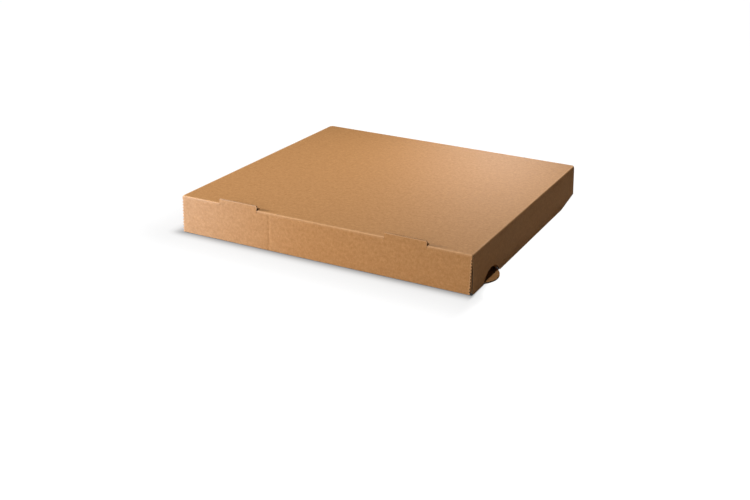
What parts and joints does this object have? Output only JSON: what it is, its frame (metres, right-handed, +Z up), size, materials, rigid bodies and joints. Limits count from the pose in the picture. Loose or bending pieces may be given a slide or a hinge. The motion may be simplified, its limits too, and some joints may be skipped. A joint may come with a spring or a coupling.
{
  "type": "pizza box",
  "caption": "Flat square pizza box folded from plain kraft E-flute board: tray with thumb holes, hinged lid with tabbed front flap and side flaps.",
  "frame": {"origin": "on the floor under the middle of the closed box, at the underside of the tray", "axes": "+X to the box's right seen from the front, +Y from the front flap to the hinged rear wall, +Z up"},
  "size_m": [0.3542, 0.336, 0.047],
  "materials": {
    "kraft_board": "matt unbleached kraft liner"
  },
  "bodies": {
    "tray": {"tray": "kraft_board"},
    "lid": {"lid_panel": "kraft_board"},
    "front_flap": {"front_flap": "kraft_board"},
    "left_flap": {"left_flap": "kraft_board"},
    "right_flap": {"right_flap": "kraft_board"}
  },
  "joints": [
    {"name": "lid_hinge", "type": "hinge", "parent": "tray", "child": "lid", "pos_m": [0, 0.168, 0.042], "axis": [-1, 0, 0], "range_deg": [0, 180]},
    {"name": "front_flap_hinge", "type": "hinge", "parent": "lid", "child": "front_flap", "pos_m": [0, -0.168, 0.042], "axis": [-1, 0, 0], "range_deg": [0, 90]},
    {"name": "left_flap_hinge", "type": "hinge", "parent": "lid", "child": "left_flap", "pos_m": [-0.168, 0, 0.042], "axis": [0, 1, 0], "range_deg": [-1, 89]},
    {"name": "right_flap_hinge", "type": "hinge", "parent": "lid", "child": "right_flap", "pos_m": [0.168, 0, 0.042], "axis": [0, -1, 0], "range_deg": [-3.5, 86.5]}
  ]
}
